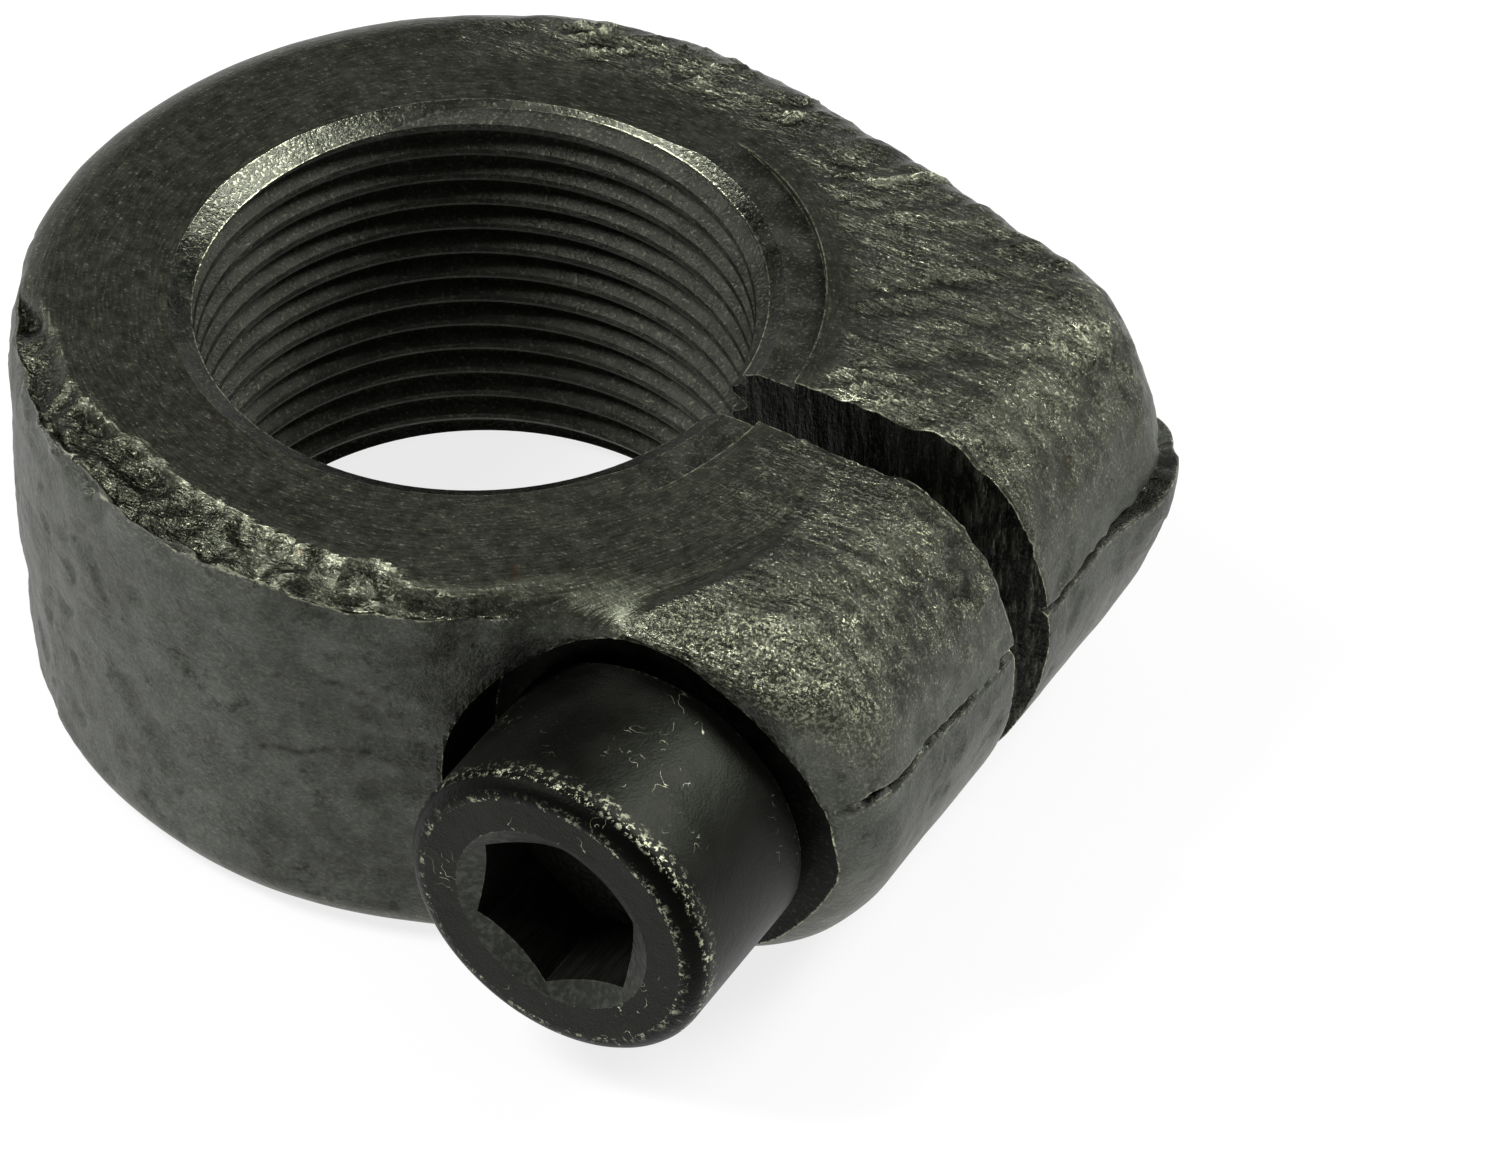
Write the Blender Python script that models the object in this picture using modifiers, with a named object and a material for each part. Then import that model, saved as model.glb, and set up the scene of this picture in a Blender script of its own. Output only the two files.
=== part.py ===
"""Threaded clamp collar: a forged ring with two ears that are sawn apart, and one
socket-head cap screw across the saw cut that draws the ears together.

Frame: the origin is on the bore's axis at the bottom face, +Z runs up the bore, +X points to
the ears, and the screw lies along Y with its head at -Y. Lengths are in metres.
"""

import math

import bmesh
import bpy

MM = 0.001

# Forged blank
RING_R = 14.15 * MM  # outer radius at mid-height
RING_C = (0.12 * MM, 0.10 * MM)  # the ring's centre: the bore was drilled slightly off it
HEIGHT = 14.1 * MM
EDGE_ROUND = 1.4 * MM  # top and bottom edges of the blank
FAR_EDGE_ROUND = 1.0 * MM  # top edge from the far ear to the back
NEAR_EDGE_ROUND = 0.5 * MM  # top edge that the trimming die left sharp
NEAR_EAR_ROUND = 2.2 * MM  # top edge of the near ear
EAR_FOOT_ROUND = 3.0 * MM  # bottom edge of the near ear
EAR_END_X = 19.5 * MM  # from the bore's axis to the ends of the ears
EAR_CORNER_R = 2.6 * MM  # the ears' upright corners
NEAR_CORNER_GROWTH = 1.9 * MM  # how much the near ear's corner radius grows at its foot
FAR_TANGENT = math.radians(75)  # where the far ear's flat side leaves the ring
NEAR_TANGENT = math.radians(-52)  # where the ring starts to blend into the near ear
NEAR_FLAT_Y = -10.2 * MM  # flat side of the near ear, where the screw's head sits
NOSE_START_X = 15.4 * MM  # the ears' top starts to curve down here
NOSE_FOOT_X = 14.8 * MM  # and their bottom starts to curve up here
NOSE_MID_Z = 7.6 * MM  # height at which the ears reach furthest out
NOSE_FOOT_POWER = 1.6  # 2 is an ellipse, and less is flatter below

# Threaded bore, M18 x 1, drawn at its minor diameter
BORE_R = 8.55 * MM
CHAMFER_R = 9.43 * MM  # mouth of the 120 degree countersink at each end
CHAMFER_DEPTH = 0.51 * MM
FACED_R = 10.65 * MM  # machined ring around the bore on the top
FACED_DEPTH = 0.3 * MM

# Saw cut between the ears
SLIT_W = 2.1 * MM

# M6 socket-head cap screw, 20 mm long, and the holes it goes through
SCREW_X = 12.48 * MM
SCREW_Z = 6.95 * MM
HEAD_R = 5.0 * MM
HEAD_H = 6.0 * MM
HEAD_CHAMFER = 0.65 * MM
HEAD_UNDER_Y = -9.9 * MM  # underside of the head
SHANK_R = 2.7 * MM  # pitch radius: the thread is drawn plain
SCREW_LEN = 20.0 * MM
TIP_CHAMFER = 0.6 * MM
SOCKET_AF = 5.0 * MM
SOCKET_DEPTH = 3.1 * MM
SOCKET_TURN = math.radians(23.5)  # from +X towards +Z, to one corner of the socket
SOCKET_LEAD_R = 3.22 * MM  # countersink round the socket's mouth
SOCKET_LEAD_DEPTH = 0.5 * MM
SPOTFACE_R = 5.9 * MM
SPOTFACE_Y = -9.45 * MM  # seat under the head
CLEARANCE_R = 3.2 * MM  # hole through the near ear
TAPPED_R = 3.0 * MM  # hole through the far ear, drawn plain

OVERRUN = 3.0 * MM  # how far a cutter passes the wall it cuts
ROUND_SEGMENTS = 64
MERGE = 1e-6


def clear_scene():
    for obj in list(bpy.data.objects):
        bpy.data.objects.remove(obj, do_unlink=True)


def new_collection(name):
    collection = bpy.data.collections.new(name)
    bpy.context.scene.collection.children.link(collection)
    return collection


def metal(name, colour, roughness):
    material = bpy.data.materials.new(name)
    material.use_nodes = True
    shader = material.node_tree.nodes["Principled BSDF"]
    shader.inputs["Base Color"].default_value = (*colour, 1.0)
    shader.inputs["Roughness"].default_value = roughness
    shader.inputs["Metallic"].default_value = 0.8
    return material


def arc(centre, radius, start, end, count, outward=1.0):
    """Points on an arc and the wall's outward normals there."""
    step = (end - start) / (count - 1)
    points = []
    for i in range(count):
        x = math.cos(start + step * i)
        y = math.sin(start + step * i)
        point = (centre[0] + radius * x, centre[1] + radius * y)
        points.append((point, (outward * x, outward * y)))
    return points


def ears_reach(z):
    """How far the ears reach along X at a height."""
    if z > NOSE_MID_Z:
        half = HEIGHT - NOSE_MID_Z
        start = NOSE_START_X
        power = 2.0
    else:
        half = NOSE_MID_Z
        start = NOSE_FOOT_X
        power = NOSE_FOOT_POWER
    rise = min(1.0, abs(z - NOSE_MID_Z) / half)
    return start + (EAR_END_X - start) * (1 - rise**power) ** (1 / power)


def outline(z):
    """Plan of the forging at a height, anticlockwise from the near ear's end."""
    turn = math.pi / 2
    end_x = ears_reach(z)
    near_r = EAR_CORNER_R + NEAR_CORNER_GROWTH * max(0.0, 1 - z / NOSE_MID_Z) ** 1.3
    near_centre = (end_x - near_r, NEAR_FLAT_Y + near_r)
    far_x = math.cos(FAR_TANGENT)
    far_y = math.sin(FAR_TANGENT)
    reach = RING_R + RING_C[0] * far_x + RING_C[1] * far_y - EAR_CORNER_R
    corner_x = end_x - EAR_CORNER_R
    far_centre = (corner_x, (reach - corner_x * far_x) / far_y)
    ring_end_x = RING_C[0] + RING_R * math.cos(NEAR_TANGENT)
    ring_end_y = RING_C[1] + RING_R * math.sin(NEAR_TANGENT)
    slope = turn + NEAR_TANGENT  # angle of the ring's tangent there, from +X
    blend_r = (NEAR_FLAT_Y - ring_end_y) / (1 - math.cos(slope))
    blend = (ring_end_x + blend_r * math.sin(slope), NEAR_FLAT_Y - blend_r)
    points = arc(near_centre, near_r, -turn, 0.0, 7)
    points += arc(far_centre, EAR_CORNER_R, 0.0, FAR_TANGENT, 6)
    points += arc(RING_C, RING_R, FAR_TANGENT, 2 * math.pi + NEAR_TANGENT, 46)
    points += arc(blend, blend_r, turn + slope, turn, 5, -1.0)[1:]
    return points


def window(angle, start, end, fade):
    """1 between two angles in degrees, fading to 0 on either side of them."""
    middle = (start + end) / 2
    away = abs((math.degrees(angle) - middle + 180) % 360 - 180)
    share = (away - (end - start) / 2) / fade
    share = min(1.0, max(0.0, share))
    return 1 - share * share * (3 - 2 * share)


def rim_inset(z, angle):
    """How far the rounded rims stand in from the wall, at a height and an angle about Z."""
    top = EDGE_ROUND
    top += (NEAR_EDGE_ROUND - EDGE_ROUND) * window(angle, -118, -70, 18)
    top += (FAR_EDGE_ROUND - EDGE_ROUND) * window(angle, 30, 110, 30)
    top += (NEAR_EAR_ROUND - EDGE_ROUND) * window(angle, -50, -30, 10)
    foot = EDGE_ROUND + (EAR_FOOT_ROUND - EDGE_ROUND) * window(angle, -45, -25, 12)
    above = min(top, max(0.0, z - (HEIGHT - top)))
    below = min(foot, max(0.0, foot - z))
    upper = top - math.sqrt(top * top - above * above)
    return upper + foot - math.sqrt(foot * foot - below * below)


def blank_heights():
    rim = [EDGE_ROUND * share for share in (0.0, 0.08, 0.30, 0.62, 1.0)]
    middle = [2.2 * MM, 3.4 * MM, 5.2 * MM, NOSE_MID_Z, 9.4 * MM, 11.2 * MM]
    return rim + middle + [HEIGHT - z for z in reversed(rim)]


def forged_blank(name):
    """The forging before any cut: its plan at each height, joined into one closed skin."""
    shape = bmesh.new()
    rows = []
    for z in blank_heights():
        row = []
        for (x, y), (normal_x, normal_y) in outline(z):
            inset = rim_inset(z, math.atan2(y, x))
            inward_x = inset * min(0.0, normal_x)  # the ears' ends are rounded by their reach
            row.append(shape.verts.new((x - inward_x, y - inset * normal_y, z)))
        rows.append(row)
    count = len(rows[0])
    for lower, upper in zip(rows, rows[1:]):
        for i in range(count):
            j = (i + 1) % count
            shape.faces.new((lower[i], lower[j], upper[j], upper[i]))
    shape.faces.new(list(reversed(rows[0])))
    shape.faces.new(rows[-1])
    bmesh.ops.triangulate(shape, faces=[f for f in shape.faces if len(f.verts) == 4])
    mesh = bpy.data.meshes.new(name)
    shape.to_mesh(mesh)
    shape.free()
    return bpy.data.objects.new(name, mesh)


def cone(name, r_bottom, r_top, z_bottom, z_top, segments=ROUND_SEGMENTS):
    """A cone or cylinder on the Z axis between two heights."""
    shape = bmesh.new()
    bmesh.ops.create_cone(
        shape,
        cap_ends=True,
        segments=segments,
        radius1=r_bottom,
        radius2=r_top,
        depth=z_top - z_bottom,
    )
    bmesh.ops.translate(shape, verts=shape.verts, vec=(0.0, 0.0, (z_bottom + z_top) / 2))
    mesh = bpy.data.meshes.new(name)
    shape.to_mesh(mesh)
    shape.free()
    return bpy.data.objects.new(name, mesh)


def box(name, low, high):
    shape = bmesh.new()
    bmesh.ops.create_cube(shape, size=1.0)
    size = [b - a for a, b in zip(low, high)]
    bmesh.ops.scale(shape, verts=shape.verts, vec=size)
    middle = [(a + b) / 2 for a, b in zip(low, high)]
    bmesh.ops.translate(shape, verts=shape.verts, vec=middle)
    mesh = bpy.data.meshes.new(name)
    shape.to_mesh(mesh)
    shape.free()
    return bpy.data.objects.new(name, mesh)


def across_ears(obj, y=0.0):
    """Lays a cutter made on the Z axis along the screw's axis, its top towards -Y."""
    obj.location = (SCREW_X, y, SCREW_Z)
    obj.rotation_euler = (math.radians(90), 0.0, 0.0)
    return obj


def cut(target, cutter, cutters):
    cutters.objects.link(cutter)
    cutter.hide_render = True
    cutter.display_type = "WIRE"
    modifier = target.modifiers.new(cutter.name, "BOOLEAN")
    modifier.operation = "DIFFERENCE"
    modifier.solver = "EXACT"
    modifier.object = cutter


def make_collar_body(parts, cutters, material):
    """The forging, then each machining step in the order a shop would take them."""
    body = forged_blank("collar_body")
    parts.objects.link(body)
    body.data.materials.append(material)

    faced_z = HEIGHT - FACED_DEPTH
    above = HEIGHT + OVERRUN
    cut(body, cone("facing_cutter", FACED_R, FACED_R, faced_z, above), cutters)
    cut(body, cone("bore_cutter", BORE_R, BORE_R, -OVERRUN, above), cutters)
    flare = CHAMFER_R - BORE_R
    overlap = 0.5  # share of its own depth by which a countersink's cutter passes the face
    wide = CHAMFER_R + overlap * flare
    narrow = BORE_R - overlap * flare
    deep = CHAMFER_DEPTH * (1 + overlap)
    proud = CHAMFER_DEPTH * overlap
    top = cone("top_countersink", narrow, wide, faced_z - deep, faced_z + proud)
    bottom = cone("bottom_countersink", wide, narrow, -proud, deep)
    cut(body, top, cutters)
    cut(body, bottom, cutters)

    slit_low = (0.0, -SLIT_W / 2, -OVERRUN)
    slit_high = (EAR_END_X + OVERRUN, SLIT_W / 2, above)
    cut(body, box("slit_cutter", slit_low, slit_high), cutters)

    seat = cone("spotface_cutter", SPOTFACE_R, SPOTFACE_R, -SPOTFACE_Y, RING_R + OVERRUN)
    cut(body, across_ears(seat), cutters)
    clearance = cone("clearance_cutter", CLEARANCE_R, CLEARANCE_R, 0.0, RING_R, 40)
    cut(body, across_ears(clearance), cutters)
    tapped = cone("tapped_cutter", TAPPED_R, TAPPED_R, -RING_R - OVERRUN, 0.0, 40)
    cut(body, across_ears(tapped), cutters)
    return body


def make_clamp_screw(parts, cutters, material):
    """Turned head and shank about the screw's own Z axis, then the hexagonal socket."""
    tip = -SCREW_LEN
    profile = [
        (0.0, HEAD_H),
        (HEAD_R - HEAD_CHAMFER, HEAD_H),
        (HEAD_R, HEAD_H - HEAD_CHAMFER),
        (HEAD_R, 0.0),
        (SHANK_R, 0.0),
        (SHANK_R, tip + TIP_CHAMFER),
        (SHANK_R - TIP_CHAMFER, tip),
        (0.0, tip),
    ]
    shape = bmesh.new()
    points = [shape.verts.new((x, 0.0, z)) for x, z in profile]
    for first, second in zip(points, points[1:]):
        shape.edges.new((first, second))
    mesh = bpy.data.meshes.new("clamp_screw")
    shape.to_mesh(mesh)
    shape.free()
    screw = bpy.data.objects.new("clamp_screw", mesh)
    parts.objects.link(screw)
    screw.data.materials.append(material)
    turned = screw.modifiers.new("turned", "SCREW")
    turned.axis = "Z"
    turned.steps = 48
    turned.render_steps = 48
    turned.use_merge_vertices = True
    turned.merge_threshold = MERGE
    across_ears(screw, HEAD_UNDER_Y)

    floor = HEAD_H - SOCKET_DEPTH
    corner_r = SOCKET_AF / math.sqrt(3)
    hexagon = cone("socket_cutter", corner_r, corner_r, floor, HEAD_H + OVERRUN, 6)
    across_ears(hexagon, HEAD_UNDER_Y)
    hexagon.rotation_euler = (math.radians(90), math.radians(90) - SOCKET_TURN, 0.0)
    cut(screw, hexagon, cutters)
    lead_low = HEAD_H - SOCKET_LEAD_DEPTH
    steep = SOCKET_LEAD_R - SOCKET_LEAD_DEPTH
    lead = cone(
        "socket_lead_cutter",
        steep,
        SOCKET_LEAD_R + SOCKET_LEAD_DEPTH,
        lead_low,
        HEAD_H + SOCKET_LEAD_DEPTH,
        48,
    )
    cut(screw, across_ears(lead, HEAD_UNDER_Y), cutters)
    return screw


def shade(obj, degrees):
    obj.data.shade_smooth()
    obj.data.set_sharp_from_angle(angle=math.radians(degrees))


def main():
    clear_scene()
    parts = new_collection("threaded_clamp_collar")
    cutters = new_collection("cutters")
    forged = metal("black_oxide_forging", (0.045, 0.05, 0.045), 0.5)
    oiled = metal("black_oxide_screw", (0.02, 0.022, 0.02), 0.32)
    body = make_collar_body(parts, cutters, forged)
    screw = make_clamp_screw(parts, cutters, oiled)
    shade(body, 35)
    shade(screw, 35)


main()
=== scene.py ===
"""Looks of a threaded clamp collar: a drop-forged ring, machined and blackened, with its screw.

The forging is a grid swept round its plan outline and roughened as a forging is, and then cut by
the tools a shop would use: the tap, the countersinks, the facing cutter, the saw and the drills.
Lengths are in millimetres in this file, and become metres when a mesh is made.
"""

import math

import bpy
import numpy as np
from mathutils import Matrix, Vector, noise


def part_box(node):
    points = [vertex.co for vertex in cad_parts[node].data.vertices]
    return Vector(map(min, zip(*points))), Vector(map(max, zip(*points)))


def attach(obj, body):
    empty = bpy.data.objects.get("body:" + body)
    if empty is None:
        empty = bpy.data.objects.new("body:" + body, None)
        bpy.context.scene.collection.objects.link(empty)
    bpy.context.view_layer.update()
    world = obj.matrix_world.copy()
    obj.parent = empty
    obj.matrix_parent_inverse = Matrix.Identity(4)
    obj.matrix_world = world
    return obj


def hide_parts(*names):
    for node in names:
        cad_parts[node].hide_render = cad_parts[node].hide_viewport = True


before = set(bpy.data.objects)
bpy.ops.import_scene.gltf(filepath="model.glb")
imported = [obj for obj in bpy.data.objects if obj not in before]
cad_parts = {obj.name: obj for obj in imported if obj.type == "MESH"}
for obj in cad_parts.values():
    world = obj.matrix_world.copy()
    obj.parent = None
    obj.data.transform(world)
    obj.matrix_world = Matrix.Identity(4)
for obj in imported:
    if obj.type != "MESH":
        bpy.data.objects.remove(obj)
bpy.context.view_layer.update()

MM = 0.001
TURN = 2 * math.pi


def node_box(name):
    """Lowest and highest corner of a CAD node, in millimetres."""
    low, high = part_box(name)
    return np.array(low) / MM, np.array(high) / MM


_, BODY_HIGH = node_box("collar_body")
SCREW_LOW, SCREW_HIGH = node_box("clamp_screw")

# Forged blank. The ring lies a little off the bore's axis.
HEIGHT = BODY_HIGH[2]
EAR_END_X = BODY_HIGH[0]
RING_C = np.array([0.12, 0.10])
RING_R = 14.15
EDGE_ROUND = 1.4
FAR_EDGE_ROUND = 1.0
NEAR_EDGE_ROUND = 0.5
NEAR_EAR_ROUND = 2.2
EAR_FOOT_ROUND = 3.0
EAR_CORNER_R = 2.6
FAR_TANGENT = math.radians(75)
NEAR_TANGENT = math.radians(-52)
NEAR_FLAT_Y = -10.2
NOSE_START_X = 15.4
NOSE_FOOT_X = 14.8
NOSE_FOOT_POWER = 1.6
NEAR_CORNER_GROWTH = 1.9
NOSE_MID_Z = 7.6
PARTING_Z = 9.0

# Threaded bore, M18 x 1. The screw's pitch is 1 mm too.
THREAD_PITCH = 1.0
BORE_CREST_R = 8.5
BORE_ROOT_R = 9.02
CHAMFER_R = 9.43
CHAMFER_RISE = 0.51
FACED_R = 10.65
FACED_Z = HEIGHT - 0.3

# Saw cut
SLIT_W = 2.1

# Screw, M6 x 20, and its holes
SCREW_X = (SCREW_LOW[0] + SCREW_HIGH[0]) / 2
SCREW_Z = (SCREW_LOW[2] + SCREW_HIGH[2]) / 2
HEAD_R = (SCREW_HIGH[2] - SCREW_LOW[2]) / 2
HEAD_FACE_Y = SCREW_LOW[1]
TIP_Y = SCREW_HIGH[1]
HEAD_H = 6.0
HEAD_RIM_W = 0.66
HEAD_RIM_H = 0.62
SOCKET_AF = 5.0
SOCKET_DEPTH = 3.1
SOCKET_TURN = math.radians(23.5)
SHANK_ROOT_R = 2.46
SHANK_CREST_R = 2.9
SPOTFACE_R = 5.9
SPOTFACE_Y = -9.45
CLEARANCE_R = 3.2
TAP_CREST_R = 2.96
TAP_ROOT_R = 3.26

# Forged skin. A window is a start, an end and a fade at both, in degrees about the bore.
NEAR_EDGE_WINDOW = (-118, -90, 18)
FAR_EDGE_WINDOW = (30, 110, 30)
NEAR_EAR_EDGE_WINDOW = (-50, -30, 10)
EAR_FOOT_WINDOW = (-45, -25, 12)
FAR_RAISED_WINDOW = (-2, 48, 38)
NEAR_RAISED_WINDOW = (-48, 0, 30)
DIP_WINDOW = (-45, -6, 6)
DIP_C = np.array([4.7, -3.5])
DIP_R = 8.9
DIP_DEPTH = 0.09
CREASE_LIE = math.radians(38)
NEAR_EAR_WINDOW = (-62, -4, 8)
FAR_EAR_WINDOW = (4, 105, 35)
TORN_WINDOW = (-150, -52, 12)
TORN_MIDDLE = -103
TORN_INNER_R = 11.9
TORN_OUTER_R = 14.1
RIDGE_WINDOW = (-98, -50, 14)
ROLLED_WINDOW = (-84, -50, 12)
PARTING_CRACK_DEPTH = 0.36
PARTING_RISE = 0.30
LIP_WINDOW = (23, 34, 9)
LIP_REACH = 0.62
SWELL_WINDOW = (-156, -140, 22)
SWELL_REACH = 0.20
# Where the wall beside the screw head is painted darker: partly dirt, partly painted shade.
DIRT_AND_SHADE_WINDOW = (-80, -56, 14)
SPLIT_ANGLE = -118.5
SPLIT_LEAN = 3.5
SPLIT_DEPTH = 0.35
WALL_CRACKS = {
    23: ((-85, 9.8), (-77, 10.3), (-63, 9.3)),
    24: ((-90, 6.4), (-74, 7.6), (-63, 7.2)),
}

# The forging's grid: the gap between its points, the finer rows beside the parting line, the
# radius inside the bore where its flat faces end, how many rows each of those has, and the nominal
# lengths of the outline's straight stretches.
SPACING = 0.2
FINE_BAND = 0.75
FINE_SHARE = 0.45
CORE_R = 7.0
BOTTOM_ROWS = 20
TOP_ROWS = 34
EAR_END_L = 15.2
FAR_FLANK_L = 14.4
NEAR_FLAT_L = 5.0


# ---------------------------------------------------------------- meshes

def mesh_object(name, points, faces):
    """A new object in the scene, from points in millimetres."""
    mesh = bpy.data.meshes.new(name)
    mesh.from_pydata((np.asarray(points) * MM).tolist(), [], faces)
    mesh.update()
    obj = bpy.data.objects.new(name, mesh)
    bpy.context.scene.collection.objects.link(obj)
    return obj


def smooth(low, high, value):
    """0 below low and 1 above high, with a smooth rise between."""
    t = np.clip((value - low) / (high - low), 0.0, 1.0)
    return t * t * (3 - 2 * t)


def field(points, scale, seed, octaves=1):
    """Perlin noise at points, for features about 1/scale across."""
    shift = np.array([seed * 17.31, seed * 7.77, seed * 3.13])
    scaled = np.asarray(points) * scale + shift
    return np.array([noise.fractal(Vector(p), 1.0, 2.0, octaves) for p in scaled])


def arc(centre, radius, start, end, count, outward=1.0):
    """Points on an arc with their outward normals, without the last point."""
    angles = start + (end - start) * np.arange(count) / count
    unit = np.stack([np.cos(angles), np.sin(angles)], 1)
    return np.asarray(centre) + radius * unit, outward * unit


def line(start, end, normal, count):
    """Points on a straight line with its normal, without the last point."""
    share = np.arange(count)[:, None] / count
    points = np.asarray(start) * (1 - share) + np.asarray(end) * share
    return points, np.tile(normal, (count, 1))


def steps(length):
    """How many grid points a stretch of the outline takes."""
    return max(3, round(length / SPACING))


def outline(end_x, near_corner_r):
    """Plan of the forging where its ears end at end_x, anticlockwise, with normals."""
    quarter = math.pi / 2
    corner_x = end_x - EAR_CORNER_R
    near_x = end_x - near_corner_r
    near_y = NEAR_FLAT_Y + near_corner_r
    far_unit = np.array([math.cos(FAR_TANGENT), math.sin(FAR_TANGENT)])
    far_reach = RING_R + RING_C @ far_unit
    far_y = (far_reach - EAR_CORNER_R - corner_x * far_unit[0]) / far_unit[1]
    near_unit = np.array([math.cos(NEAR_TANGENT), math.sin(NEAR_TANGENT)])
    ring_end = RING_C + RING_R * near_unit
    slope = quarter + NEAR_TANGENT
    blend_r = (NEAR_FLAT_Y - ring_end[1]) / (1 - math.cos(slope))
    blend = np.array([ring_end[0] + blend_r * math.sin(slope), NEAR_FLAT_Y - blend_r])
    far_corner = np.array([corner_x, far_y])
    parts = [
        arc((near_x, near_y), near_corner_r, -quarter, 0.0, steps(EAR_CORNER_R * quarter)),
        line((end_x, near_y), (end_x, far_y), (1.0, 0.0), steps(EAR_END_L)),
        arc(far_corner, EAR_CORNER_R, 0.0, FAR_TANGENT, steps(EAR_CORNER_R * FAR_TANGENT)),
        line(far_corner + EAR_CORNER_R * far_unit, RING_C + RING_R * far_unit, far_unit,
             steps(FAR_FLANK_L)),
        arc(RING_C, RING_R, FAR_TANGENT, TURN + NEAR_TANGENT,
            steps(RING_R * (TURN + NEAR_TANGENT - FAR_TANGENT))),
        arc(blend, blend_r, quarter + slope, quarter, steps(blend_r * slope), -1.0),
        line((blend[0], NEAR_FLAT_Y), (near_x, NEAR_FLAT_Y), (0.0, -1.0), steps(NEAR_FLAT_L)),
    ]
    return np.concatenate([p for p, _ in parts]), np.concatenate([n for _, n in parts])


def ears_reach(z):
    """How far the ears reach along X at a height: rounded to flats above and below."""
    if z > NOSE_MID_Z:
        half, start, power = HEIGHT - NOSE_MID_Z, NOSE_START_X, 2.0
    else:
        half, start, power = NOSE_MID_Z, NOSE_FOOT_X, NOSE_FOOT_POWER
    rise = min(1.0, abs(z - NOSE_MID_Z) / half)
    return start + (EAR_END_X - start) * (1 - rise**power) ** (1 / power)


def near_corner(z):
    """Radius of the near ear's upright corner, which grows towards its foot."""
    return EAR_CORNER_R + NEAR_CORNER_GROWTH * max(0.0, 1 - z / NOSE_MID_Z) ** 1.3


def row_heights():
    """Heights of the grid's rows: close together at the rims and at the parting line."""
    rim = [1 - math.cos(a) for a in np.linspace(0, math.pi / 2, 11)]
    low = [EDGE_ROUND * r for r in rim]
    high = [HEIGHT - EDGE_ROUND * r for r in rim][::-1]
    wall = list(low)
    z = low[-1]
    while z < high[0] - 0.8 * SPACING:
        fine = abs(z - PARTING_Z) < FINE_BAND
        z += SPACING * (FINE_SHARE if fine else 1.0)
        wall.append(z)
    wall[-1] = high[0] if high[0] - wall[-1] < 0.5 * SPACING else wall[-1]
    return wall + [h for h in high if h > wall[-1] + 1e-6]


def rim_inset(z, top, foot):
    """How far the rounded rims lie inside the wall at a height."""
    above = np.clip(z - (HEIGHT - top), 0.0, top)
    below = np.clip(foot - z, 0.0, foot)
    return top - np.sqrt(top**2 - above**2) + foot - np.sqrt(foot**2 - below**2)


def angle_window(angle, start, end, fade):
    """1 between two angles in degrees, anticlockwise, fading to 0 outside them."""
    middle = math.radians((start + end) / 2)
    half = math.radians((end - start) / 2)
    away = np.abs((angle - middle + math.pi) % TURN - math.pi)
    return 1 - smooth(half, half + math.radians(fade), away)


def cap_rows(rim, count):
    """Rows that lead from a rim to the circle where the blank's flat faces end."""
    angle = np.arctan2(rim[:, 1], rim[:, 0])
    inner = CORE_R * np.stack([np.cos(angle), np.sin(angle)], 1)
    rows = []
    for i in range(1, count + 1):
        share = (i / count) ** 1.3
        flat = rim[:, :2] * (1 - share) + inner * share
        rows.append(np.column_stack([flat, rim[:, 2]]))
    return rows


def blank_grid():
    """The forging as rows of points, from the middle of the bottom face to that of the top."""
    plan, _ = outline(EAR_END_X, EAR_CORNER_R)
    angle = np.arctan2(plan[:, 1], plan[:, 0])
    near = angle_window(angle, *NEAR_EDGE_WINDOW)
    far = angle_window(angle, *FAR_EDGE_WINDOW)
    ear = angle_window(angle, *NEAR_EAR_EDGE_WINDOW)
    edge = EDGE_ROUND + (NEAR_EDGE_ROUND - EDGE_ROUND) * near
    edge += (FAR_EDGE_ROUND - EDGE_ROUND) * far + (NEAR_EAR_ROUND - EDGE_ROUND) * ear
    foot = EDGE_ROUND + (EAR_FOOT_ROUND - EDGE_ROUND) * angle_window(angle, *EAR_FOOT_WINDOW)
    walls = []
    for z in row_heights():
        points, normals = outline(ears_reach(z), near_corner(z))
        inset = rim_inset(z, edge, foot)
        # The ears' ends are already rounded by ears_reach, so their X isn't inset again.
        inward = np.column_stack([normals[:, 0] < 0, inset > 0])
        flat = points - normals * inset[:, None] * inward
        walls.append(np.column_stack([flat, np.full(len(flat), z)]))
    bottom = cap_rows(walls[0], BOTTOM_ROWS)[::-1]
    return np.array(bottom + walls + cap_rows(walls[-1], TOP_ROWS))


def grid_normals(grid):
    """Unit normals at the grid's points, out of the forging."""
    along = np.roll(grid, -1, 1) - np.roll(grid, 1, 1)
    up = np.gradient(grid, axis=0)
    normal = np.cross(along, up)
    return normal / np.maximum(np.linalg.norm(normal, axis=2, keepdims=True), 1e-9)


class Skin:
    """The blank's points: where each lies and faces, and how far it moves out."""

    def __init__(self, grid):
        self.points = grid.reshape(-1, 3)
        self.normals = grid_normals(grid).reshape(-1, 3)
        self.x, self.y, self.z = self.points.T
        self.radius = np.hypot(self.x, self.y)
        self.angle = np.arctan2(self.y, self.x)
        self.side = 1 - np.abs(self.normals[:, 2])
        self.top = np.clip(self.normals[:, 2], 0, 1)
        self.walls = smooth(0.5, 0.9, self.side)
        self.plan = np.column_stack([self.y, self.x, self.x * 0])
        self.from_dip = np.hypot(self.x - DIP_C[0], self.y - DIP_C[1]) - DIP_R
        self.out = np.zeros(len(self.points))

    def window(self, start, end, fade):
        return angle_window(self.angle, start, end, fade)


def machined_depth(skin):
    """How deep the top is machined, which stops short of the ears and the far side.

    It lies just below the faced ring, and on the near ear a dip bounds it.
    """
    raised = skin.window(*FAR_RAISED_WINDOW)
    raised += skin.window(*NEAR_RAISED_WINDOW) * smooth(-0.3, 0.7, skin.from_dip)
    depth = (HEIGHT - FACED_Z + 0.07) * (1 - np.clip(raised, 0, 1))
    return depth * smooth(HEIGHT - 1.2, HEIGHT, skin.z)


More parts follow.
